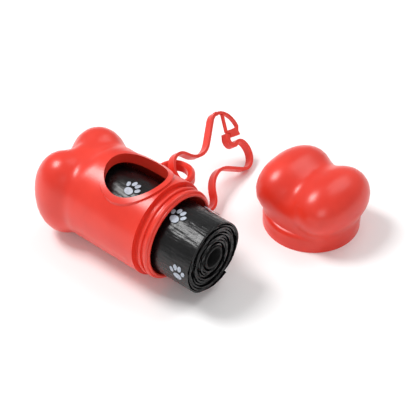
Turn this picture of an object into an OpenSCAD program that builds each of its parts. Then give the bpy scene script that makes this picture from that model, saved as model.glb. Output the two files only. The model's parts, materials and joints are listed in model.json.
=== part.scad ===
// Dog waste bag dispenser shaped like a bone: a bone half that holds a roll of
// bags, the pushed-on end cap beside it, and a bone-shaped clip on the body's eye.
// Millimetres, +Z up, standing on z = 0, origin at the middle of the footprint.

/* [Barrel] */
// Outside diameter of the barrel and of the cap's skirt
barrel_d = 40; // [39:0.5:46]
// Diameter of the bore that the roll lies in
bore_d = 33.3; // [32.8:0.1:34]
// Length from the barrel's shoulder to the middle of its two end lobes
barrel_len = 45.1; // [43:0.5:60]
// Height from the cap's rim to the middle of its two lobes
cap_len = 15.8; // [15:0.2:24]

/* [Bone end] */
// Radius of a lobe at its fattest
lobe_r = 12.3; // [11:0.1:13.5]
// Half length of a lobe through the bone's thickness
lobe_half = 18.4; // [17:0.1:20]
// Distance of a lobe's middle from the bone's axis
lobe_off = 9.8; // [8.5:0.1:12]
// Squareness of a lobe's profile
lobe_power = 2.2; // [2:0.05:3]
// Width of the soft crease between the lobes
groove_blend = 6; // [3:0.5:8]
// Width of the soft crease between barrel and lobes
waist_blend = 5; // [3:0.5:6]
// Distance from the barrel's full width end to the lobes' middle
waist_gap = 8.9; // [8:0.1:10]
// Rounding of the barrel's end towards the waist
waist_round = 4.2; // [3:0.1:5]
// Wall between a lobe's skin and the pocket inside it
lobe_wall = 2.8; // [2:0.1:4]
// Distance from the bore's inner end to the lobes' middle
bore_stop = 1.8; // [1.5:0.1:4]

/* [Neck] */
// Length of the neck from the shoulder to the mouth
neck_len = 6.9; // [6:0.1:8]
// Diameter of the neck between its beads
neck_d = 35.8; // [35.4:0.1:36.4]
// Diameter over the two snap beads
bead_d = 37.8; // [37:0.1:38]
// Roundness radius of the thin bead near the shoulder
bead_near_r = 0.7; // [0.5:0.05:0.9]
// Roundness radius of the thick bead near the mouth
bead_far_r = 1; // [0.8:0.05:1.2]
// Distance from the mouth to the thick bead
bead_far_at = 1.7; // [1.5:0.1:2]
// Distance between the two beads
bead_step = 2.8; // [2.4:0.1:3.2]
// Chamfer on the mouth's inner and outer edge
mouth_chamfer = 0.4; // [0.2:0.05:0.5]

/* [Window] */
// Diameter of the window above the roll
window_d = 24.8; // [20:0.2:26]
// Width of the raised rim around the window
window_rim = 2; // [1.4:0.1:2.4]
// Height of the rim above the barrel
window_proud = 0.9; // [0.5:0.1:1.4]
// Distance from the mouth to the window's middle
window_at = 22.1; // [21:0.1:24]

/* [Eye] */
// Outside diameter of the eye that carries the clip
eye_d = 17; // [16:0.2:19]
// Diameter of the eye's hole
eye_hole_d = 11.4; // [11:0.1:12]
// Thickness of the eye
eye_t = 5.2; // [4.6:0.1:6]
// Distance from the mouth to the eye's middle
eye_at = 25.3; // [24:0.1:30]
// Distance from the barrel's side to the eye's middle
eye_out = 5.2; // [5:0.1:6]

/* [End cap] */
// Depth of the wide socket that goes over the neck
socket_depth = 7.3; // [7.2:0.1:8]
// Radial clearance between the neck's beads and the socket
socket_gap = 0.1; // [0.05:0.01:0.15]
// Height of the snap bead inside the socket
snap_h = 0.45; // [0.3:0.05:0.6]
// Place of the cap's axis along the body, measured from the mouth
cap_x = 19.8; // [15:0.1:24]
// Place of the cap's axis behind the body's axis
cap_y = 58.8; // [56:0.1:66]
// Turn of the cap's lobes about its axis
cap_turn = -2; // [-20:1:20]
// Rounding of the cap's skirt where the waist begins
skirt_round = 2.4; // [1.6:0.1:2.8]

/* [Bag roll] */
// Diameter of the roll of bags
roll_d = 31.4; // [30:0.1:31.6]
// Length of the roll
roll_len = 57; // [50:0.5:57.5]
// Length of the roll that stands out of the mouth
roll_out = 17.2; // [10:0.1:30]
// Least clearance between roll and bore
roll_gap = 0.15; // [0.1:0.01:0.3]
// Turns of film that show on the end of the roll
film_turns = 9; // [6:1:9]
// Thickness of one wound layer, several films together
film_t = 0.62; // [0.4:0.02:0.65]
// Outside diameter of the core tube
core_d = 9.8; // [9:0.1:10.4]
// Bore of the core tube
core_bore_d = 8; // [6:0.1:8.4]
// Radial clearance between the core and the first turn
core_gap = 0.1; // [0.05:0.01:0.2]
// Direction of the loose end, from +Y towards +Z
film_end_angle = 300; // [0:5:355]

/* [Clip] */
// Distance between the middles of the near and the far lobes
clip_len = 33.3; // [30:0.1:40]
// Distance between the middles of the two lobes of one end
clip_w = 13.6; // [13.4:0.1:16]
// Radius of a lobe at the middle of the strip
clip_lobe_r = 6.65; // [6.3:0.05:6.8]
// Height of the clip's waist above its long middle line
waist_up = 5.6; // [4.4:0.1:6]
// Depth of the clip's waist below its long middle line
waist_low = 4.6; // [4:0.1:6]
// Bend radius of the waist
waist_bend = 11; // [8:0.5:14]
// Radius of the notch between the near lobes
clip_notch_r = 2.5; // [2:0.1:3]
// Thickness of the strip
strip_t = 1.3; // [1.1:0.05:1.5]
// Depth of the strip
strip_depth = 3.4; // [3:0.1:5]
// Lean of the clip's normal above the horizontal
clip_lean = 40; // [35:1:44]
// Turn of the clip away from square to the body
clip_heading = 16; // [10:0.5:20]
// Dip of the far lobes towards the table, in the clip's own plane
clip_dip = 5; // [3:0.5:7]
// Place of the clip's eye lobe along the body, from the eye's middle
clip_shift = -0.6; // [-1.2:0.1:0.4]
// Place of the clip's eye lobe outwards, from the eye's middle
clip_reach = 6.6; // [6:0.1:7]

/* [Gate] */
// Direction of the gate's root on the far upper lobe
root_angle = 81; // [72:1:88]
// Radius of the gate's outer bow
bow_r = 9; // [8:0.1:10]
// Direction at which the bow leaves the root
bow_start = 78; // [72:1:84]
// Direction at which the bow ends at the nose
bow_end = -12; // [-16:1:-8]
// Radius of the gate's rounded root
root_r = 0.9; // [0.75:0.05:1.1]
// Running clearance around the root
root_gap = 0.08; // [0.05:0.01:0.1]
// Depth of the gate, less than the strip's
gate_depth = 1.4; // [1.2:0.1:2]
// Distance from the middle of the upper lobe down to the nose's corner
nose_at = 1.8; // [1.4:0.1:2.2]
// Drop of the beak's point below the bow's end
nose_t = 3.4; // [2.8:0.1:3.8]
// Clearance between the nose and the hook
nose_gap = 0.3; // [0.2:0.05:0.5]
// Slope of the nose's underside towards the beak
beak_drop = 1; // [0.6:0.1:1.4]
// Thickness of the gate's inner strip
rib_t = 0.8; // [0.7:0.05:1.2]
// Direction of the inner strip's top on the bow
rib_angle = 52; // [46:1:58]
// Radius of the shoulder where the far lower lobe turns into the hook
shoulder_bend = 4.4; // [4:0.1:5]
// Direction at which that shoulder starts on the lobe
shoulder_angle = 15; // [5:1:25]
// Place of the hook's bend past the middle of the far lobes
hook_at = 0.7; // [0.4:0.1:1.2]
// Inner radius of the hook
hook_r = 1.5; // [1.3:0.1:1.8]
// Thickness of the hook
hook_t = 2; // [1.5:0.1:2.2]
// Direction in which the hook's tip ends, seen from the hook's middle
hook_end = 136; // [130:1:150]
// Length of the hook's straight tip
hook_len = 2; // [1.2:0.1:2.4]

/* [Hidden] */
$fn = 64;

red = "tomato";
black = "dimgray";
eps = 0.01;

barrel_r = barrel_d / 2;
bore_r = bore_d / 2;
roll_r = roll_d / 2;
mouth_to_lobes = neck_len + barrel_len;

// The bone end is one smooth skin. Its own axes are s towards the tip, v from
// lobe to lobe and w through the thickness, with the lobes' middle at s = 0.
skin_cols = 48;
skin_rings = 24;
skin_eye = -4;
skin_join = -14;
skin_inset = 0.02;
skin_max = atan2(barrel_r, skin_join - skin_eye);

function soft_min(a, b, k) = let (h = max(k - abs(a - b), 0) / k) min(a, b) - h * h * k / 4;
function barrel_gap(s, v, w, r, end, round_r) =
    let (out = norm([v, w]) - (r - round_r), up = s - (end - round_r))
    min(max(out, up), 0) + norm([max(out, 0), max(up, 0)]) - round_r;
function lobe_gap(s, v, w, side) =
    let (across = norm([s, v - side * lobe_off]) / lobe_r, along = abs(w) / lobe_half)
    (pow(pow(across, lobe_power) + pow(along, lobe_power), 1 / lobe_power) - 1) * lobe_r;

// A round core keeps a wall around the bore where the groove is deep. Its
// crease is narrower than its distance to the barrel, so the barrel stays round.
core_wall = 1.2;
core_end = 3.2;
core_round = 6;
core_blend = min(2.1, barrel_r - bore_r - core_wall);
function skin_gap(p) =
    let (s = p[0], v = p[1], w = p[2])
    let (lobes = soft_min(lobe_gap(s, v, w, 1), lobe_gap(s, v, w, -1), groove_blend))
    let (waist = soft_min(lobes, barrel_gap(s, v, w, barrel_r, -waist_gap, waist_round), waist_blend))
    soft_min(waist, barrel_gap(s, v, w, bore_r + core_wall, core_end, core_round), core_blend);
function reach(dir, near, far, n) =
    let (mid = (near + far) / 2)
    n == 0 ? mid
    : skin_gap([skin_eye, 0, 0] + mid * dir) < 0 ? reach(dir, mid, far, n - 1)
    : reach(dir, near, mid, n - 1);
function skin_point(polar, turn) =
    let (dir = [cos(polar), sin(polar) * cos(turn), sin(polar) * sin(turn)])
    [skin_eye, 0, 0] + reach(dir, 6, 45, 22) * dir;

skin_points = concat(
    [skin_point(0, 0)],
    [for (i = [1:skin_rings - 1], j = [0:skin_cols - 1])
        skin_point(skin_max * pow(i / skin_rings, 0.8), 360 * j / skin_cols)],
    [for (j = [0:skin_cols - 1])
        let (a = 360 * j / skin_cols, r = barrel_r - skin_inset)
        [skin_join, r * cos(a), r * sin(a)]]);
function ring_at(i, j) = 1 + (i - 1) * skin_cols + j % skin_cols;
skin_faces = concat(
    [for (j = [0:skin_cols - 1]) [0, ring_at(1, j + 1), ring_at(1, j)]],
    [for (i = [1:skin_rings - 1], j = [0:skin_cols - 1]) [ring_at(i, j), ring_at(i, j + 1), ring_at(i + 1, j + 1)]],
    [for (i = [1:skin_rings - 1], j = [0:skin_cols - 1]) [ring_at(i, j), ring_at(i + 1, j + 1), ring_at(i + 1, j)]],
    [[for (j = [0:skin_cols - 1]) ring_at(skin_rings, j)]]);

// Footprint of the whole set, from which the origin is worked out.
tip_reach = max([for (p = skin_points) p[0]]);
side_reach = max([for (p = skin_points) p[1]]);
cap_reach = max([for (p = skin_points) p[1] * cos(cap_turn) - p[2] * sin(cap_turn)]);
low_x = -mouth_to_lobes - tip_reach;
high_x = cap_x + cap_reach;
low_y = -side_reach;
high_y = cap_y + barrel_r;
mid_x = (low_x + high_x) / 2;
mid_y = (low_y + high_y) / 2;

// Clip geometry in its own plane: x from the near to the far lobes, y upwards,
// with the middle of the lobe on the body's eye at the origin.
function dir(a) = [cos(a), sin(a)];
function aim(from, to) = atan2(to[1] - from[1], to[0] - from[0]);
near_up = [0, 0];
near_low = [0, -clip_w];
far_up = [clip_len, 0];
far_low = [clip_len, -clip_w];
bend_up_y = waist_bend + waist_up - clip_w / 2;
bend_low_y = waist_bend + waist_low - clip_w / 2;
bend_up = [sqrt(pow(waist_bend + clip_lobe_r, 2) - pow(bend_up_y, 2)), bend_up_y];
bend_low = [sqrt(pow(waist_bend + clip_lobe_r, 2) - pow(bend_low_y, 2)), -clip_w - bend_low_y];
straight_up = acos(min(1, (waist_bend + clip_lobe_r) / norm(far_up - bend_up)));
straight_low = acos(min(1, (waist_bend + clip_lobe_r) / norm(far_low - bend_low)));
leave_up = aim(bend_up, far_up) - straight_up;
leave_low = aim(bend_low, far_low) + straight_low;
notch_x = sqrt(pow(clip_notch_r + clip_lobe_r, 2) - pow(clip_w / 2, 2));
notch_a = atan2(clip_w / 2, notch_x);
root = far_up + clip_lobe_r * dir(root_angle);
bow_mid = root - bow_r * dir(bow_start);
shoulder_mid = far_low + (clip_lobe_r - shoulder_bend) * dir(shoulder_angle);
hook_mid = [clip_len + hook_at, shoulder_mid[1] + shoulder_bend + strip_t / 2 + hook_r];
hook_out = dir(hook_end);
hook_up = [sin(hook_end), -cos(hook_end)];
tip_in = hook_mid + hook_r * hook_out + hook_len * hook_up;
tip_out = tip_in + hook_t * hook_out;

// Clip placed with its far lower lobe on the floor and one lobe around the eye.
clip_z = (clip_len * sin(clip_dip) + clip_w * cos(clip_dip) + clip_lobe_r + strip_t / 2) * cos(clip_lean)
    + strip_depth / 2 * sin(clip_lean);
clip_at = [-eye_at + clip_shift, barrel_r + clip_reach + eye_out, clip_z];

roll_z = barrel_r - (bore_r - roll_r) + roll_gap;
film_start = core_d / 2 + core_gap;
film_pitch = (roll_r - film_t - film_start) / film_turns;
film_steps = 36;
roll_travel_in = roll_out - roll_len + mouth_to_lobes - bore_stop;

// One arc of a path is [middle, radius, first angle, last angle]; side moves it
// to the left of the direction of travel.
function arc_line(a, side) =
    let (r = a[1] + (a[3] > a[2] ? -side : side), n = max(3, ceil(abs(a[3] - a[2]) / 9)))
    [for (i = [0:n]) let (t = a[2] + (a[3] - a[2]) * i / n) a[0] + r * [cos(t), sin(t)]];
function path_line(arcs, side) = [for (a = arcs) each arc_line(a, side)];
function backwards(list) = [for (i = [len(list) - 1:-1:0]) list[i]];
function band(left, right) = concat(left, backwards(right));

clip_arcs = [
    [far_up, clip_lobe_r, root_angle, leave_up + 180],
    [bend_up, waist_bend, leave_up, aim(bend_up, near_up)],
    [near_up, clip_lobe_r, aim(near_up, bend_up), 180 + notch_a],
    [[-notch_x, -clip_w / 2], clip_notch_r, notch_a, -notch_a],
    [near_low, clip_lobe_r, 180 - notch_a, 360 + aim(near_low, bend_low)],
    [bend_low, waist_bend, aim(bend_low, near_low), leave_low],
    [far_low, clip_lobe_r, leave_low + 180, 360 + shoulder_angle],
    [shoulder_mid, shoulder_bend, shoulder_angle, 90],
    [hook_mid, hook_r + strip_t / 2, -90, -135]
];

module place() {
    translate([-mid_x, -mid_y, 0]) children();
}

module along_body() {
    // s axis towards -X with its zero at the lobes' middle, v along Y
    translate([-mouth_to_lobes, 0, barrel_r]) rotate([0, 0, 180]) children();
}

module along_cap() {
    // s axis upwards, v along X
    translate([cap_x, cap_y, cap_len]) rotate([0, 0, cap_turn - 90]) rotate([0, -90, 0]) children();
}

// Round bar along the s axis
module s_bar(r, from, to) {
    translate([from, 0, 0]) rotate([0, 90, 0]) cylinder(h = to - from, r = r);
}

module bone_end(length) {
    polyhedron(skin_points, skin_faces, convexity = 6);
    s_bar(barrel_r, -length, skin_join);
}

// Pocket in one lobe, no wider than the bore so that it draws straight out
module lobe_pocket(side) {
    r = lobe_r - lobe_wall;
    half = lobe_half - lobe_wall;
    steps = 12;
    profile = [for (i = [0:steps]) let (t = 90 * i / steps)
        [r * pow(cos(t), 2 / lobe_power), half * pow(sin(t), 2 / lobe_power)]];
    web = 1;
    intersection() {
        translate([0, side * lobe_off, 0]) for (up = [0, 1]) mirror([0, 0, up])
            rotate_extrude($fn = 32) polygon(concat([[0, 0]], profile));
        s_bar(bore_r, -bore_stop - 1, lobe_r);
        translate([-bore_stop - 1, side > 0 ? web : -web - barrel_r, -barrel_r])
            cube([barrel_r, barrel_r, barrel_d]);
    }
}

module pockets() {
    lobe_pocket(1);
    lobe_pocket(-1);
}

module neck_bead(at, r) {
    // Bead whose crest lies on bead_d, at a distance behind the mouth
    translate([-at, 0, barrel_r]) rotate([0, 90, 0])
        rotate_extrude() translate([bead_d / 2 - r, 0]) circle(r = r, $fn = 16);
}

module neck() {
    translate([-neck_len, 0, barrel_r]) rotate([0, 90, 0]) rotate_extrude()
        polygon([[0, -1], [neck_d / 2, -1], [neck_d / 2, neck_len - mouth_chamfer],
            [neck_d / 2 - mouth_chamfer, neck_len], [0, neck_len]]);
    neck_bead(bead_far_at, bead_far_r);
    neck_bead(bead_far_at + bead_step, bead_near_r);
}

module eye() {
    edge = 1;
    translate([-eye_at, barrel_r + eye_out, barrel_r]) rotate_extrude()
        polygon([[eye_hole_d / 2, edge - eye_t / 2], [eye_hole_d / 2 + edge, -eye_t / 2],
            [eye_d / 2 - edge, -eye_t / 2], [eye_d / 2, edge - eye_t / 2],
            [eye_d / 2, eye_t / 2 - edge], [eye_d / 2 - edge, eye_t / 2],
            [eye_hole_d / 2 + edge, eye_t / 2], [eye_hole_d / 2, eye_t / 2 - edge]]);
}

module window_rim() {
    intersection() {
        translate([-window_at, 0, barrel_r]) difference() {
            cylinder(h = barrel_d, r = window_d / 2 + window_rim);
            translate([0, 0, -1]) cylinder(h = barrel_d + 2, r = window_d / 2);
        }
        translate([-mouth_to_lobes, 0, barrel_r]) rotate([0, 90, 0])
            cylinder(h = barrel_len, r = barrel_r + window_proud);
    }
}

module body_shell() {
    color(red) place() difference() {
        union() {
            along_body() bone_end(barrel_len);
            neck();
            eye();
            window_rim();
        }
        along_body() s_bar(bore_r, -mouth_to_lobes - 1, -bore_stop);
        along_body() pockets();
        translate([-mouth_chamfer, 0, barrel_r]) rotate([0, 90, 0])
            cylinder(h = mouth_chamfer + eps, r1 = bore_r, r2 = bore_r + mouth_chamfer + eps);
        translate([-window_at, 0, barrel_r]) cylinder(h = barrel_d, r = window_d / 2);
    }
}

// Full-width skirt around the socket, rounded off where the waist begins
module skirt_collar(straight) {
    turns = 6;
    outer = barrel_r - 0.2;
    rotate_extrude() polygon(concat([[bore_r - 1, 0.5], [outer, 0.5]],
        [for (i = [0:turns]) let (t = 90 * i / turns)
            [outer - skirt_round * (1 - cos(t)), straight + skirt_round * sin(t)]],
        [[bore_r - 1, straight + skirt_round]]));
}

module end_cap() {
    socket_r = bead_d / 2 + socket_gap;
    snap_at = neck_len - bead_far_at - bead_step / 2;
    skirt_at = neck_len - bead_far_at;
    socket_wide = skirt_at + 0.85 * bead_far_r;
    color(red) place() difference() {
        union() {
            along_cap() bone_end(cap_len);
            translate([cap_x, cap_y, 0]) skirt_collar(skirt_at);
        }
        translate([cap_x, cap_y, 0]) rotate_extrude()
            polygon([[0, -1], [socket_r + 0.3, -1], [socket_r + 0.3, 0], [socket_r, 0.3],
                [socket_r, snap_at - snap_h], [socket_r - snap_h, snap_at],
                [socket_r, snap_at + snap_h], [socket_r, socket_wide],
                [neck_d / 2 + socket_gap, socket_wide + 0.4], [neck_d / 2 + socket_gap, socket_depth],
                [bore_r, socket_depth], [bore_r, cap_len - bore_stop],
                [0, cap_len - bore_stop]]);
        along_cap() pockets();
    }
}

// Film wound from the core outwards as one unbroken strip
function film_r(t) = film_start + film_pitch * t / 360;
function film_line(extra) = [for (i = [0:film_turns * film_steps])
    let (t = 360 * i / film_steps, a = film_end_angle + t)
    (film_r(t) + extra) * [cos(a), sin(a)]];

module bag_roll() {
    color(black) place() translate([roll_out - roll_len, 0, roll_z])
        rotate([90, 0, 90]) linear_extrude(height = roll_len)
        polygon(band(film_line(0), film_line(film_t)));
}

module roll_core() {
    color("gray") place() translate([roll_out - roll_len, 0, roll_z])
        rotate([0, 90, 0]) difference() {
            cylinder(h = roll_len, r = core_d / 2);
            translate([0, 0, -1]) cylinder(h = roll_len + 2, r = core_bore_d / 2);
        }
}

module in_clip() {
    translate(clip_at) rotate([0, 0, clip_heading]) rotate([0, 90 - clip_lean, 0])
        rotate([0, 0, 90 - clip_dip]) translate([0, 0, -strip_depth / 2]) children();
}

module clip_frame() {
    hook_near = concat(arc_line([hook_mid, hook_r, -90, hook_end - 360], 0), [tip_in]);
    hook_far = concat(arc_line([hook_mid, hook_r + hook_t, -50, hook_end - 360], 0), [tip_out]);
    color(red) place() in_clip() difference() {
        union() {
            linear_extrude(height = strip_depth)
                polygon(band(path_line(clip_arcs, strip_t / 2), path_line(clip_arcs, -strip_t / 2)));
            linear_extrude(height = strip_depth) polygon(band(hook_near, hook_far));
        }
        translate([root[0], root[1], strip_depth - gate_depth - root_gap])
            cylinder(h = strip_depth, r = root_r + root_gap);
    }
}

module clip_gate() {
    bow = [[bow_mid, bow_r, bow_start, bow_end]];
    tip = bow_mid + bow_r * dir(bow_end);
    top = far_up[1] - nose_at;
    // The nose wraps the hook's tip at one even gap.
    seat_far = tip_out + nose_gap * hook_up - hook_t * 0.15 * hook_out;
    seat_mid = tip_in + nose_gap * hook_up - nose_gap * hook_out;
    seat_low = seat_mid - (hook_len - 0.1) * hook_up;
    nose = [
        [seat_far[0], top],
        seat_far,
        seat_mid,
        seat_low,
        seat_low + [3, -beak_drop],
        tip + [-1.5, -nose_t],
        tip + [-1.2, -strip_t - 0.2],
        tip + [-0.2, -strip_t * 0.6],
        tip + [strip_t * 0.5, 0],
        tip + [-strip_t, 0.3],
        [seat_far[0] + 4, top - 1.3]
    ];
    rib_top = bow_mid + (bow_r - strip_t / 4) * dir(rib_angle);
    rib_foot = [seat_far[0] + rib_t / 2, top - 0.3];
    rib_side = rib_t / 2 * dir(aim(rib_foot, rib_top) + 90);
    rib = [rib_top + rib_side, rib_top - rib_side, rib_foot - rib_side, rib_foot + rib_side];
    color(red) place() in_clip() translate([0, 0, strip_depth - gate_depth]) union() {
        linear_extrude(height = gate_depth)
            polygon(band(path_line(bow, strip_t / 2), path_line(bow, -strip_t / 2)));
        linear_extrude(height = gate_depth) polygon(nose);
        linear_extrude(height = gate_depth) polygon(rib);
        translate(root) cylinder(h = gate_depth, r = root_r);
    }
}

body_shell();
end_cap();
bag_roll();
roll_core();
clip_frame();
clip_gate();

echo(origin_in_mouth_frame = [mid_x, mid_y]);
echo(footprint = [high_x - low_x, high_y - low_y]);
echo(film_gap = film_pitch - film_t);
echo(roll_travel_in = roll_travel_in);
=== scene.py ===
import bpy
import bmesh
import json
from math import cos, radians, sin
from mathutils import Matrix, Vector


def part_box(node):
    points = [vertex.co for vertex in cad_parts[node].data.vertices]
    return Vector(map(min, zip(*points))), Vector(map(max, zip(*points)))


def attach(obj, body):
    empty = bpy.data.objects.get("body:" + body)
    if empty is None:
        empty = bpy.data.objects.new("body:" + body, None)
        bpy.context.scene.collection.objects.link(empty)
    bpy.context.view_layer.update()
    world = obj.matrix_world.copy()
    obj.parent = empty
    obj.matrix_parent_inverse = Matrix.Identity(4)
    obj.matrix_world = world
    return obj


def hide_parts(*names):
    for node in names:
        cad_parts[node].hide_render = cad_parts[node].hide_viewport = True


bl_info = {
    "name": "Dog Waste Bag Dispenser",
    "version": (1, 0, 0),
    "blender": (4, 5, 0),
    "location": "View3D > Sidebar > Bag Dispenser",
    "description": "Finishes and soft pieces of a bone-shaped dispenser for rolls of dog waste bags",
    "category": "Object",
}

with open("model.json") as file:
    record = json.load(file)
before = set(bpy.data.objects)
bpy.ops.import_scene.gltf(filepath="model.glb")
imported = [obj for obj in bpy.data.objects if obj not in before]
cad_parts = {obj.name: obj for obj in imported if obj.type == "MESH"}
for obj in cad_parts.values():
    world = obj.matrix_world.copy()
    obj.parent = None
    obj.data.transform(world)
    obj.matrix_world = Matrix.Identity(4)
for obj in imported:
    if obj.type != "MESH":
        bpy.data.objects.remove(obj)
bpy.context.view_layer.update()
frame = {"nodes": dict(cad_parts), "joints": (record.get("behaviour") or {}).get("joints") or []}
NODES = frame["nodes"]
SPIN = [j for j in frame["joints"] if j["name"] == "roll_spin"][0]
ROLL_AXIS = Vector(SPIN["pos_m"])
ROLL_LOW, ROLL_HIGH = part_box("bag_roll")

# Degrees between two faces from which an edge counts as sharp
MOULDING_SHARP = 38.0
FILM_SHARP = 40.0

# The film's creases: the least length of an edge that is cut, in metres, the cuts in it,
# and the part of the radius within which the turns lie flat
LONG_EDGE = 0.03
FILM_CUTS = 27
FLAT_CORE = 0.45
# The part of the half length at each end where a turn's edge lies back, and radians per metre
END_BAND = 0.03
END_WAVES = 7400.0

# Where a paw print lies: along the roll in metres, round it in degrees, and its own turn
PAW_PLACES = ((-0.0106, 102.0, 190.0), (0.0132, 104.0, 185.0), (0.0232, 181.0, 178.0), (-0.0150, 215.0, 80.0),
              (0.0060, 250.0, 10.0), (-0.0060, 320.0, -40.0), (0.0180, 40.0, 60.0))
# Pad and toes in a print one unit wide: middle, half size, turn
PAW_MARKS = (((0.0, -0.2), (0.27, 0.21), 0.0), ((-0.37, 0.1), (0.115, 0.165), 28.0),
             ((-0.135, 0.32), (0.12, 0.18), 8.0), ((0.135, 0.32), (0.12, 0.18), -8.0),
             ((0.37, 0.1), (0.115, 0.165), -28.0))

# The camera that was fitted to the photograph: its target, lens and sensor width in mm
TARGET = Vector((-0.00594, 0.00839, 0.0))
LENS = 125.13
SENSOR = 36.0
# Studio light: the sky's strength, then each lamp's name, place, size in metres and power in watts
SKY = 0.42
LAMPS = (("key", (-0.5, -0.2, 0.85), 0.35, 6.6),
         ("fill", (0.75, -0.75, 0.6), 0.5, 2.4),
         ("top", (0.1, 0.6, 0.9), 0.7, 3.0))


def to_linear(hex_code):
    """The one place where a colour's sRGB hex value becomes linear"""
    code = hex_code.lstrip("#")
    out = []
    for i in (0, 2, 4):
        v = int(code[i:i + 2], 16) / 255
        out.append(v / 12.92 if v <= 0.04045 else ((v + 0.055) / 1.055) ** 2.4)
    return (*out, 1.0)


def add(mat, kind, settings=(), links=()):
    """Adds a node, sets its properties and input values, and links outputs into its inputs"""
    node = mat.node_tree.nodes.new(kind)
    for key, value in dict(settings).items():
        if key in node.inputs:
            node.inputs[key].default_value = value
        else:
            setattr(node, key, value)
    for key, source in dict(links).items():
        mat.node_tree.links.new(source, node.inputs[key])
    return node


def new_finish(name):
    """A new material with its shader and object coordinates, or the one that exists already"""
    mat = bpy.data.materials.get(name)
    if mat:
        return mat, None, None
    mat = bpy.data.materials.new(name)
    mat.use_nodes = True
    shader = mat.node_tree.nodes["Principled BSDF"]
    place = add(mat, "ShaderNodeTexCoord").outputs["Object"]
    return mat, shader, place


def mottle(mat, place, light, dark, per_metre):
    """Two near tones that drift into each other, as pigment does in a moulding"""
    cloud = add(mat, "ShaderNodeTexNoise", {"Scale": per_metre, "Detail": 3.0}, {"Vector": place})
    spread = add(mat, "ShaderNodeValToRGB", (), {"Fac": cloud.outputs["Fac"]})
    spread.color_ramp.elements[0].position = 0.38
    spread.color_ramp.elements[0].color = to_linear(dark)
    spread.color_ramp.elements[1].position = 0.62
    spread.color_ramp.elements[1].color = to_linear(light)
    return spread.outputs["Color"]


def uneven_gloss(mat, place, low, high, per_metre):
    """Roughness that drifts between two values, as handling leaves it"""
    cloud = add(mat, "ShaderNodeTexNoise", {"Scale": per_metre, "Detail": 4.0}, {"Vector": place})
    span = add(mat, "ShaderNodeMapRange", {"To Min": low, "To Max": high}, {"Value": cloud.outputs["Fac"]})
    return span.outputs["Result"]


def coral_abs(name, light, dark, grain_mm, gloss):
    # Injection-moulded ABS in coral red, from a polished mould: the eye gets an
    # even, saturated colour, a soft wide highlight and a faint orange-peel ripple
    mat, shader, place = new_finish(name)
    if shader is None:
        return mat
    link = mat.node_tree.links.new
    link(mottle(mat, place, light, dark, 55.0), shader.inputs["Base Color"])
    link(uneven_gloss(mat, place, gloss - 0.04, gloss + 0.06, 220.0), shader.inputs["Roughness"])
    shader.inputs["IOR"].default_value = 1.53
    shader.inputs["Subsurface Weight"].default_value = 0.06
    shader.inputs["Subsurface Radius"].default_value = (0.004, 0.0012, 0.0008)
    shader.inputs["Subsurface Scale"].default_value = 0.6
    # Orange peel of about 0.9 mm, drawn coarser than the real 0.3 mm so that it shows
    peel = add(mat, "ShaderNodeTexNoise", {"Scale": 1000.0 / grain_mm, "Detail": 2.0}, {"Vector": place})
    # Fine handling scratches, long and thin, from a life in a pocket
    turn = add(mat, "ShaderNodeMapping", {"Rotation": (0.3, 0.5, 0.7), "Scale": (90.0, 1400.0, 900.0)},
               {"Vector": place})
    scratch = add(mat, "ShaderNodeTexNoise", {"Scale": 1.0, "Detail": 1.0},
                  {"Vector": turn.outputs["Vector"]})
    ripple = add(mat, "ShaderNodeBump", {"Strength": 0.05, "Distance": 0.0002},
                 {"Height": peel.outputs["Fac"]})
    lines = add(mat, "ShaderNodeBump", {"Strength": 0.03, "Distance": 0.0001},
                {"Height": scratch.outputs["Fac"], "Normal": ripple.outputs["Normal"]})
    link(lines.outputs["Normal"], shader.inputs["Normal"])
    return mat


def bag_film(name, light, dark):
    # Blown polyethylene film, wound tight: near black with a soft satin sheen,
    # fine creases along the roll and a slight ripple round it
    mat, shader, place = new_finish(name)
    if shader is None:
        return mat
    link = mat.node_tree.links.new
    link(mottle(mat, place, light, dark, 140.0), shader.inputs["Base Color"])
    link(uneven_gloss(mat, place, 0.2, 0.4, 400.0), shader.inputs["Roughness"])
    shader.inputs["IOR"].default_value = 1.46
    # Creases 1.5 mm apart that run along the roll, and a ripple of about 5 mm
    along = add(mat, "ShaderNodeMapping", {"Scale": (90.0, 650.0, 650.0)}, {"Vector": place})
    crease = add(mat, "ShaderNodeTexNoise", {"Scale": 1.0, "Detail": 4.0},
                 {"Vector": along.outputs["Vector"]})
    swell = add(mat, "ShaderNodeTexNoise", {"Scale": 200.0, "Detail": 2.0}, {"Vector": place})
    low = add(mat, "ShaderNodeBump", {"Strength": 0.5, "Distance": 0.0008}, {"Height": swell.outputs["Fac"]})
    top = add(mat, "ShaderNodeBump", {"Strength": 0.6, "Distance": 0.0005},
              {"Height": crease.outputs["Fac"], "Normal": low.outputs["Normal"]})
    link(top.outputs["Normal"], shader.inputs["Normal"])
    return mat


def core_board(name, light, dark):
    # Wound paperboard tube, coloured near black as painted shade for the dark hole through the roll: matte,
    # with short fibres and a spiral seam's faint bands
    mat, shader, place = new_finish(name)
    if shader is None:
        return mat
    link = mat.node_tree.links.new
    link(mottle(mat, place, light, dark, 500.0), shader.inputs["Base Color"])
    link(uneven_gloss(mat, place, 0.72, 0.9, 700.0), shader.inputs["Roughness"])
    fibre = add(mat, "ShaderNodeTexNoise", {"Scale": 1800.0, "Detail": 3.0}, {"Vector": place})
    rough = add(mat, "ShaderNodeBump", {"Strength": 0.25, "Distance": 0.0002},
                {"Height": fibre.outputs["Fac"]})
    link(rough.outputs["Normal"], shader.inputs["Normal"])
    return mat


def print_ink(name, light, dark):
    # Pale flexographic ink on film: flat grey-blue, a little thin where the film shows through
    mat, shader, place = new_finish(name)
    if shader is None:
        return mat
    link = mat.node_tree.links.new
    link(mottle(mat, place, light, dark, 900.0), shader.inputs["Base Color"])
    link(uneven_gloss(mat, place, 0.42, 0.58, 500.0), shader.inputs["Roughness"])
    return mat


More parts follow.
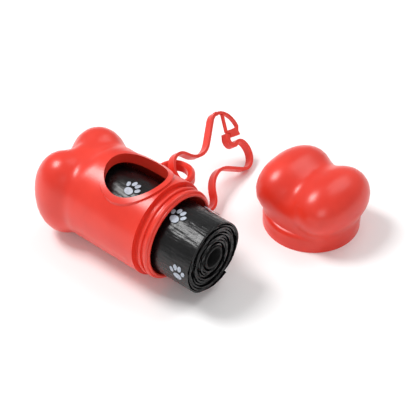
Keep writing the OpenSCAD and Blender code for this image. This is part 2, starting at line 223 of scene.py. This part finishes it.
def dress(obj, mat):
    obj.data.materials.clear()
    obj.data.materials.append(mat)


def keep(name, bm, mat, body):
    """Turns a bmesh into a finished piece at the origin that rides on a body"""
    mesh = bpy.data.meshes.new(name)
    bm.to_mesh(mesh)
    bm.free()
    piece = bpy.data.objects.new(name, mesh)
    bpy.context.scene.collection.objects.link(piece)
    dress(piece, mat)
    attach(piece, body)
    return piece


def smooth_skin(bm, angle):
    """Shades a skin smooth, but for edges sharper than an angle in degrees"""
    for f in bm.faces:
        f.smooth = True
    for e in bm.edges:
        if len(e.link_faces) == 2 and e.calc_face_angle(0.0) > radians(angle):
            e.smooth = False


def soft_edges(piece, width, angle):
    """Rounds a moulding's sharp edges, as a mould does"""
    bevel = piece.modifiers.new("Edge rounding", "BEVEL")
    bevel.width = width
    bevel.segments = 2
    bevel.limit_method = "ANGLE"
    bevel.angle_limit = radians(angle)
    bevel.use_clamp_overlap = True
    bevel.harden_normals = False


def moulding(name, node, mat, body, width):
    """A CAD node's shape as one smooth skin with rounded edges, which stands for the node"""
    bm = merged_copy(node)
    smooth_skin(bm, MOULDING_SHARP)
    piece = keep(name, bm, mat, body)
    soft_edges(piece, width, MOULDING_SHARP)
    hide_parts(node)
    return piece


def merged_copy(node):
    """A CAD node's mesh with its loose triangles joined, for a piece that replaces it"""
    bm = bmesh.new()
    bm.from_mesh(NODES[node].data)
    bmesh.ops.remove_doubles(bm, verts=bm.verts, dist=1e-6)
    return bm


class ShellLook(bpy.types.PropertyGroup):
    """Colours and gloss of the red mouldings"""
    light: bpy.props.StringProperty(name="Light tone", description="sRGB hex of the moulding",
                                    default="#E93A29")
    dark: bpy.props.StringProperty(name="Dark tone", description="sRGB hex it drifts to", default="#DF3323")
    clip: bpy.props.StringProperty(name="Clip tone", description="sRGB hex of the clip", default="#E73A2A")
    gloss: bpy.props.FloatProperty(name="Roughness", description="Middle roughness of the mouldings",
                                   default=0.3, min=0.05, max=0.9)
    edge: bpy.props.FloatProperty(name="Edge radius", description="Rounding of the mouldings' edges",
                                  default=0.0003, min=0.00005, max=0.001, subtype="DISTANCE", unit="LENGTH")
    grain: bpy.props.FloatProperty(name="Ripple size", description="Width of an orange-peel ripple in mm",
                                   default=0.9, min=0.2, max=4.0)


class FilmLook(bpy.types.PropertyGroup):
    """Colours and creases of the wound film"""
    light: bpy.props.StringProperty(name="Light tone", description="sRGB hex of the film", default="#08080A")
    dark: bpy.props.StringProperty(name="Dark tone", description="sRGB hex it drifts to", default="#040405")
    # The core's near-black tone is painted shade for the dark hole through the roll
    core: bpy.props.StringProperty(name="Core painted shade", description="sRGB hex of the core", default="#0A0A0A")
    dent: bpy.props.FloatProperty(name="Crease depth", description="Depth of the deepest crease",
                                  default=0.00022, min=0.0, max=0.0004, subtype="DISTANCE", unit="LENGTH")
    slip: bpy.props.FloatProperty(name="Edge slip",
                                  description="How far a turn's edge lies back from the end",
                                  default=0.0009, min=0.0, max=0.002, subtype="DISTANCE", unit="LENGTH")


class PawLook(bpy.types.PropertyGroup):
    """Size and colour of the paw prints on the film"""
    ink: bpy.props.StringProperty(name="Ink", description="sRGB hex of the ink", default="#B9C1CD")
    thin: bpy.props.StringProperty(name="Thin ink", description="sRGB hex of the ink's thin places",
                                   default="#A3ABB8")
    width: bpy.props.FloatProperty(name="Width", description="Width of a paw print", default=0.0074,
                                   min=0.003, max=0.012, subtype="DISTANCE", unit="LENGTH")
    lift: bpy.props.FloatProperty(name="Ink height", description="Height of the ink over the film",
                                  default=0.00003, min=0.00001, max=0.0001, subtype="DISTANCE", unit="LENGTH")


class StageLook(bpy.types.PropertyGroup):
    """Floor, lamps and camera"""
    floor: bpy.props.StringProperty(name="Floor", description="sRGB hex of the floor", default="#FFFFFF")
    azimuth: bpy.props.FloatProperty(name="Azimuth", description="Camera's turn round the object",
                                     default=radians(40.48), subtype="ANGLE", unit="ROTATION")
    elevation: bpy.props.FloatProperty(name="Elevation", description="Camera's height angle",
                                       default=radians(41.48), subtype="ANGLE", unit="ROTATION")
    distance: bpy.props.FloatProperty(name="Distance", description="Camera to target", default=0.6,
                                      min=0.2, max=3.0, subtype="DISTANCE", unit="LENGTH")


class DISPENSER_OT_mouldings(bpy.types.Operator):
    """Gives the body shell and the end cap their moulded finish"""
    bl_idname = "dispenser.mouldings"
    bl_label = "Body and Cap"

    def execute(self, context):
        look = context.scene.dispenser_shell
        mat = coral_abs("Moulded ABS, coral red", look.light, look.dark, look.grain, look.gloss)
        moulding("body_moulding", "body_shell", mat, "body", look.edge)
        moulding("cap_moulding", "end_cap", mat, "cap", look.edge)
        return {"FINISHED"}


class DISPENSER_OT_clip(bpy.types.Operator):
    """Gives the clip's frame and gate the finish of tougher moulded plastic"""
    bl_idname = "dispenser.clip"
    bl_label = "Clip"

    def execute(self, context):
        look = context.scene.dispenser_shell
        mat = coral_abs("Moulded acetal, coral red", look.clip, look.dark, look.grain, look.gloss + 0.04)
        moulding("clip_strip", "clip_frame", mat, "clip", look.edge * 0.6)
        moulding("clip_spring_gate", "clip_gate", mat, "gate", look.edge * 0.5)
        return {"FINISHED"}


class DISPENSER_OT_core(bpy.types.Operator):
    """Gives the roll's core its paperboard finish, near black as painted shade in the hole through the roll
    """
    bl_idname = "dispenser.core"
    bl_label = "Roll Core"

    def execute(self, context):
        look = context.scene.dispenser_film
        dress(NODES["roll_core"], core_board("Wound paperboard, painted shade black", look.core, look.dark))
        return {"FINISHED"}


class DISPENSER_OT_film(bpy.types.Operator):
    """Builds the wound film with its creases and slightly uneven edges"""
    bl_idname = "dispenser.film"
    bl_label = "Wound Film"

    def execute(self, context):
        look = context.scene.dispenser_film
        mat = bag_film("Polyethylene film, black", look.light, look.dark)
        bm = merged_copy("bag_roll")
        bmesh.ops.dissolve_limit(bm, angle_limit=radians(0.5), verts=bm.verts, edges=bm.edges)
        long_edges = [e for e in bm.edges if abs(e.verts[0].co.x - e.verts[1].co.x) > LONG_EDGE]
        bmesh.ops.subdivide_edges(bm, edges=long_edges, cuts=FILM_CUTS, use_grid_fill=True)
        middle = (ROLL_LOW[0] + ROLL_HIGH[0]) / 2
        half = (ROLL_HIGH[0] - ROLL_LOW[0]) / 2
        outer = (ROLL_HIGH[2] - ROLL_LOW[2]) / 2
        for v in bm.verts:
            arm = v.co - ROLL_AXIS
            out = Vector((0, arm.y, arm.z))
            r = out.length
            share = max(0.0, (r / outer - FLAT_CORE) / (1 - FLAT_CORE))
            turn = Vector((0, 1, 0)).angle(out) if r > 1e-9 else 0.0
            turn = turn if arm.z > 0 else -turn
            along = (v.co.x - middle) / half
            # Long creases that drift round the roll, never outwards, and none at the axis
            wave = (sin(5 * turn + 3.1 * along + 0.6) + sin(11 * turn - 4.7 * along + 2.1)
                    + 0.6 * sin(23 * turn + 8.0 * along) + 0.5 * sin(9.0 * along + 2 * turn)) / 3.1
            dent = look.dent * share * (0.5 + 0.5 * wave)
            if r > 1e-9:
                v.co -= out.normalized() * dent
            # Each turn's edge lies a little back from the roll's end, by its own amount
            if abs(along) > 1 - END_BAND:
                back = look.slip * (0.5 + 0.5 * sin(END_WAVES * r + 1.3 * turn + (2.0 if along > 0 else 0.0)))
                v.co.x -= (1 if along > 0 else -1) * back * (abs(along) - (1 - END_BAND)) / END_BAND
        smooth_skin(bm, FILM_SHARP)
        piece = keep("wound_film", bm, mat, "film")
        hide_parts("bag_roll")
        return {"FINISHED"}


class DISPENSER_OT_paws(bpy.types.Operator):
    """Prints small paw marks on the film: a pad and four toes, bent round the roll"""
    bl_idname = "dispenser.paws"
    bl_label = "Paw Prints"

    def execute(self, context):
        look = context.scene.dispenser_paw
        mat = print_ink("Printed ink, pale grey blue", look.ink, look.thin)
        radius = (ROLL_HIGH[2] - ROLL_LOW[2]) / 2
        bm = bmesh.new()
        for at, angle, turn in PAW_PLACES:
            made = []
            for (cx, cy), (sx, sy), lean in PAW_MARKS:
                shape = bmesh.ops.create_circle(bm, cap_ends=True, cap_tris=False, segments=24, radius=1.0)
                verts = shape["verts"]
                spot = (Matrix.Rotation(radians(turn), 4, "Z") @ Matrix.Translation((cx, cy, 0))
                        @ Matrix.Rotation(radians(lean), 4, "Z") @ Matrix.Diagonal((sx, sy, 1, 1)))
                bmesh.ops.transform(bm, matrix=spot, verts=verts)
                made += verts
            for v in made:
                # A flat mark bends round the roll: its second axis becomes an angle
                x = at + v.co.x * look.width
                a = radians(angle) + v.co.y * look.width / radius
                r = radius + look.lift
                v.co = Vector((x, ROLL_AXIS.y + r * cos(a), ROLL_AXIS.z + r * sin(a)))
        bmesh.ops.inset_region(bm, faces=bm.faces, thickness=look.width * 0.01, use_even_offset=True)
        bmesh.ops.triangulate(bm, faces=bm.faces)
        turned = []
        for f in bm.faces:
            out = f.calc_center_median() - ROLL_AXIS
            if f.normal.dot(Vector((0, out.y, out.z))) < 0:
                turned.append(f)
        bmesh.ops.reverse_faces(bm, faces=turned)
        for f in bm.faces:
            f.smooth = True
        keep("paw_prints", bm, mat, "film")
        return {"FINISHED"}


class DISPENSER_OT_stage(bpy.types.Operator):
    """Lays the pale floor, hangs soft lamps and sets up the camera"""
    bl_idname = "dispenser.stage"
    bl_label = "Stage"

    def execute(self, context):
        scene = context.scene
        look = scene.dispenser_stage
        bm = bmesh.new()
        bmesh.ops.create_grid(bm, x_segments=4, y_segments=4, size=4.0)
        mesh = bpy.data.meshes.new("floor")
        bm.to_mesh(mesh)
        bm.free()
        floor = bpy.data.objects.new("floor", mesh)
        scene.collection.objects.link(floor)
        floor.data.materials.append(self.paper(look.floor))
        world = bpy.data.worlds.new("Studio")
        world.use_nodes = True
        sky = world.node_tree.nodes["Background"]
        sky.inputs["Color"].default_value = (1, 1, 1, 1)
        sky.inputs["Strength"].default_value = SKY
        scene.world = world
        for name, spot, size, power in LAMPS:
            data = bpy.data.lights.new(name, "AREA")
            data.size = size
            data.energy = power
            lamp = bpy.data.objects.new(name, data)
            lamp.location = spot
            lamp.rotation_euler = (Vector(spot) - TARGET).to_track_quat("Z", "Y").to_euler()
            scene.collection.objects.link(lamp)
        back = Vector((sin(look.azimuth) * cos(look.elevation), -cos(look.azimuth) * cos(look.elevation),
                       sin(look.elevation)))
        data = bpy.data.cameras.new("camera")
        data.sensor_width = SENSOR
        data.lens = LENS
        camera = bpy.data.objects.new("camera", data)
        camera.location = TARGET + back * look.distance
        camera.rotation_euler = back.to_track_quat("Z", "Y").to_euler()
        scene.collection.objects.link(camera)
        scene.camera = camera
        scene.view_settings.view_transform = "Standard"
        return {"FINISHED"}

    def paper(self, tone):
        # White seamless paper: flat and matte, with a fine tooth
        mat = bpy.data.materials.new("Seamless paper, white")
        mat.use_nodes = True
        shader = mat.node_tree.nodes["Principled BSDF"]
        shader.inputs["Base Color"].default_value = to_linear(tone)
        shader.inputs["Roughness"].default_value = 0.9
        place = add(mat, "ShaderNodeTexCoord").outputs["Object"]
        tooth = add(mat, "ShaderNodeTexNoise", {"Scale": 900.0, "Detail": 2.0}, {"Vector": place})
        bump = add(mat, "ShaderNodeBump", {"Strength": 0.05, "Distance": 0.0001},
                   {"Height": tooth.outputs["Fac"]})
        mat.node_tree.links.new(bump.outputs["Normal"], shader.inputs["Normal"])
        return mat


class DISPENSER_PT_panel(bpy.types.Panel):
    """Shows the colour, size and gloss settings, with a button for each step that makes the pieces"""
    bl_idname = "DISPENSER_PT_panel"
    bl_label = "Bag Dispenser"
    bl_space_type = "VIEW_3D"
    bl_region_type = "UI"
    bl_category = "Bag Dispenser"

    def draw(self, context):
        scene = context.scene
        groups = ((scene.dispenser_shell, ("light", "dark", "clip", "gloss", "edge", "grain"),
                   ("mouldings", "clip")),
                  (scene.dispenser_film, ("light", "dark", "core", "dent", "slip"), ("core", "film")),
                  (scene.dispenser_paw, ("ink", "thin", "width", "lift"), ("paws",)),
                  (scene.dispenser_stage, ("floor", "azimuth", "elevation", "distance"), ("stage",)))
        for group, props, ops in groups:
            box = self.layout.box()
            for prop in props:
                box.prop(group, prop)
            for op in ops:
                box.operator("dispenser." + op)


CLASSES = (ShellLook, FilmLook, PawLook, StageLook,
           DISPENSER_OT_mouldings, DISPENSER_OT_clip, DISPENSER_OT_core, DISPENSER_OT_film,
           DISPENSER_OT_paws, DISPENSER_OT_stage, DISPENSER_PT_panel)


def register():
    for cls in CLASSES:
        bpy.utils.register_class(cls)
    bpy.types.Scene.dispenser_shell = bpy.props.PointerProperty(type=ShellLook)
    bpy.types.Scene.dispenser_film = bpy.props.PointerProperty(type=FilmLook)
    bpy.types.Scene.dispenser_paw = bpy.props.PointerProperty(type=PawLook)
    bpy.types.Scene.dispenser_stage = bpy.props.PointerProperty(type=StageLook)


def unregister():
    for name in ("shell", "film", "paw", "stage"):
        delattr(bpy.types.Scene, "dispenser_" + name)
    for cls in reversed(CLASSES):
        bpy.utils.unregister_class(cls)


def main():
    register()
    bpy.ops.dispenser.mouldings()
    bpy.ops.dispenser.clip()
    bpy.ops.dispenser.core()
    bpy.ops.dispenser.film()
    bpy.ops.dispenser.paws()
    bpy.ops.dispenser.stage()


if __name__ == "__main__":
    main()
